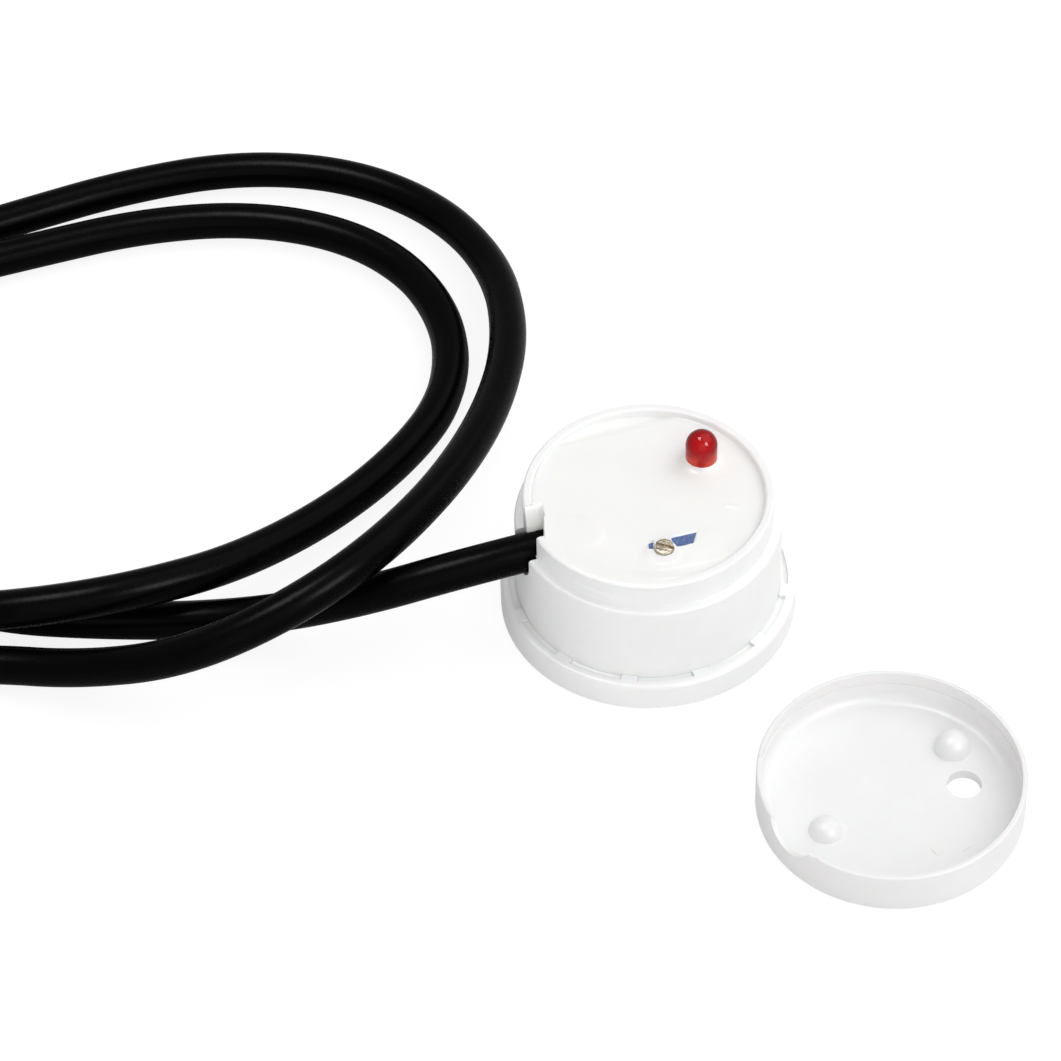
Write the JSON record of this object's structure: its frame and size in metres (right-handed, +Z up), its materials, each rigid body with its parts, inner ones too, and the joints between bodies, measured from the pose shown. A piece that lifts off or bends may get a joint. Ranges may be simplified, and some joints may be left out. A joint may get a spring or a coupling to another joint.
{
  "type": "water level sensor module",
  "caption": "Round stick-on liquid level sensor puck with indicator, trimmer, push-on cap taken off and a looped four-core cable.",
  "frame": {"origin": "centre of the puck's flat sensing face, on the surface that it stands on", "axes": "+Z up along the puck's axis, +X to the right in the picture, +Y to the back"},
  "size_m": [0.1476, 0.1, 0.0173],
  "materials": {
    "white_abs": "moulded white ABS, fine satin",
    "resin": "cast white potting resin, glossy",
    "glue_film": "translucent glue film",
    "copper": "rolled copper, tinned where soldered",
    "board": "green solder mask",
    "black_case": "moulded black epoxy",
    "tinned_lead": "tinned lead frame",
    "resistor": "black glaze on ceramic",
    "capacitor": "tan ceramic",
    "lens_red": "clear red epoxy",
    "die": "semiconductor chip",
    "case_blue": "moulded blue plastic",
    "screw_brass": "turned brass",
    "ceramic": "white ceramic with a printed track",
    "wiper_plastic": "natural nylon",
    "solder": "bright solder",
    "jacket_black": "soft black PVC, satin",
    "core_brown": "brown PVC",
    "core_yellow": "yellow PVC",
    "core_blue": "blue PVC",
    "core_black": "black PVC",
    "tinned_copper": "tinned copper strands"
  },
  "bodies": {
    "sensor": {"base_flange": "white_abs", "housing_body": "white_abs", "adhesive_pad": "glue_film", "sensing_electrode": "copper", "electrode_pin": "copper", "circuit_board": "board", "touch_chip": "black_case", "touch_chip_leads": "tinned_lead", "voltage_regulator": "black_case", "regulator_leads": "tinned_lead", "output_transistor": "black_case", "transistor_leads": "tinned_lead", "protection_diode": "black_case", "diode_leads": "tinned_lead", "chip_resistors": "resistor", "chip_capacitors": "capacitor", "chip_end_caps": "tinned_lead", "led_lens": "lens_red", "led_anode_lead": "tinned_lead", "led_cathode_lead": "tinned_lead", "led_die": "die", "trimmer_body": "case_blue", "trimmer_element": "ceramic", "trimmer_pins": "tinned_lead", "brown_core_inner": "core_brown", "yellow_core_inner": "core_yellow", "blue_core_inner": "core_blue", "black_core_inner": "core_black", "core_conductors": "tinned_copper", "solder_joints": "solder", "potting": "resin", "cable_jacket": "jacket_black", "brown_core": "core_brown", "yellow_core": "core_yellow", "blue_core": "core_blue", "black_core": "core_black", "tinned_tips": "tinned_copper"},
    "trimmer_screw": {"trimmer_screw": "screw_brass"},
    "trimmer_wiper": {"trimmer_wiper": "wiper_plastic"},
    "cap": {"cap": "white_abs"}
  },
  "joints": [
    {"name": "trimmer_screw_turn", "type": "hinge", "parent": "sensor", "child": "trimmer_screw", "pos_m": [0.00118, -0.00692, 0.01395], "axis": [0, 0, 1], "range_deg": [-2160, 2160]},
    {"name": "trimmer_wiper_turn", "type": "hinge", "parent": "sensor", "child": "trimmer_wiper", "pos_m": [0.00365, -0.00683, 0.0105], "axis": [-0.2588, 0.9659, 0], "range_deg": [-135, 135]},
    {"name": "cap_lift", "type": "slide", "parent": "sensor", "child": "cap", "axis": [0, 0, 1], "range_m": [0, 0.025]}
  ],
  "couplings": [
    {"joint": "trimmer_wiper_turn", "follows": "trimmer_screw_turn", "ratio": 0.0625}
  ]
}
